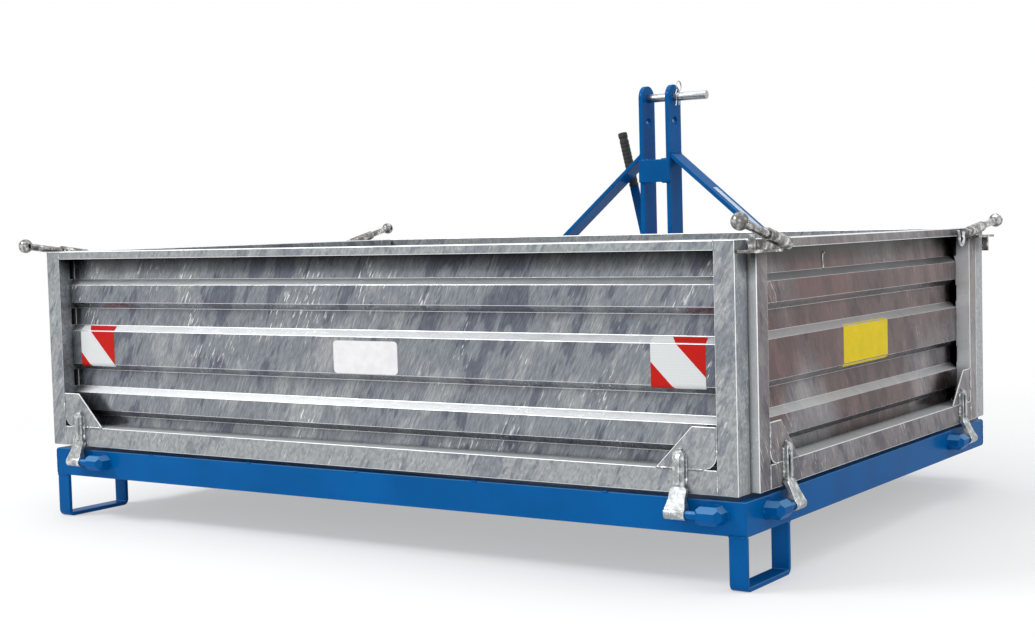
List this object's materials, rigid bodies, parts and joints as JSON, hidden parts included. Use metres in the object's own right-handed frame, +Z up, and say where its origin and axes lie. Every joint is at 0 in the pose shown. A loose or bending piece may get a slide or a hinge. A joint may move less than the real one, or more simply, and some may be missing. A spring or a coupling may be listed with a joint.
{
  "type": "tractor transport box",
  "caption": "Three-point linkage tipping transport box with galvanised drop sides, a steel base frame and a mast headstock with release lever.",
  "frame": {"origin": "on the ground, at the centre of the standing object's bounding box", "axes": "+Z up, +Y forward towards the tractor, +X to the right seen from behind"},
  "size_m": [2.0822, 1.7038, 1.1533],
  "materials": {
    "blue_enamel": "gloss enamel",
    "galvanised_steel": "hot-dip galvanised",
    "forged_galvanised_steel": "forged and galvanised",
    "zinc_plated_steel": "bright zinc plate",
    "black_rubber": "matt"
  },
  "bodies": {
    "headstock": {"headstock_beam": "blue_enamel", "beam_end_caps": "blue_enamel", "front_feet": "blue_enamel", "tipping_arms": "blue_enamel", "tipping_shaft": "zinc_plated_steel", "mast_plate_right": "blue_enamel", "mast_plate_left": "blue_enamel", "mast_tie_plate": "blue_enamel", "top_link_pin": "zinc_plated_steel", "top_link_clip": "zinc_plated_steel", "brace_right": "blue_enamel", "brace_left": "blue_enamel", "hitch_posts": "blue_enamel", "lower_hitch_ears": "blue_enamel", "lower_hitch_studs": "zinc_plated_steel", "release_bearing": "blue_enamel", "release_lever": "blue_enamel", "release_grip": "black_rubber", "catch_hook": "blue_enamel"},
    "box": {"frame_end_rails": "blue_enamel", "frame_side_rails": "blue_enamel", "frame_cross_members": "blue_enamel", "floor_sheet": "galvanised_steel", "rear_feet": "blue_enamel", "tipping_lugs": "blue_enamel", "rear_hinge_pins": "blue_enamel", "right_hinge_pins": "blue_enamel", "left_hinge_pins": "blue_enamel", "headboard_posts": "galvanised_steel", "headboard_rails": "galvanised_steel", "headboard_sheet": "galvanised_steel", "catch_peg": "blue_enamel"},
    "rear_side": {"rear_side_posts": "galvanised_steel", "rear_side_rails": "galvanised_steel", "rear_side_sheet": "galvanised_steel", "rear_side_gussets": "galvanised_steel", "rear_side_straps": "forged_galvanised_steel"},
    "right_side": {"right_side_posts": "galvanised_steel", "right_side_rails": "galvanised_steel", "right_side_sheet": "galvanised_steel", "right_side_gussets": "galvanised_steel", "right_side_straps": "forged_galvanised_steel", "right_latch_brackets": "forged_galvanised_steel", "right_latch_levers": "forged_galvanised_steel"},
    "left_side": {"left_side_posts": "galvanised_steel", "left_side_rails": "galvanised_steel", "left_side_sheet": "galvanised_steel", "left_side_gussets": "galvanised_steel", "left_side_straps": "forged_galvanised_steel", "left_latch_brackets": "forged_galvanised_steel", "left_latch_levers": "forged_galvanised_steel"}
  },
  "joints": [
    {"name": "box_tip", "type": "hinge", "parent": "headstock", "child": "box", "pos_m": [0, -0.14, 0.075], "axis": [1, 0, 0], "range_deg": [0, 50]},
    {"name": "rear_side_drop", "type": "hinge", "parent": "box", "child": "rear_side", "pos_m": [0, -0.807, 0.152], "axis": [1, 0, 0], "range_deg": [0, 180]},
    {"name": "right_side_drop", "type": "hinge", "parent": "box", "child": "right_side", "pos_m": [1.027, -0.06, 0.152], "axis": [0, 1, 0], "range_deg": [0, 180]},
    {"name": "left_side_drop", "type": "hinge", "parent": "box", "child": "left_side", "pos_m": [-1.027, -0.06, 0.152], "axis": [0, -1, 0], "range_deg": [0, 180]}
  ]
}
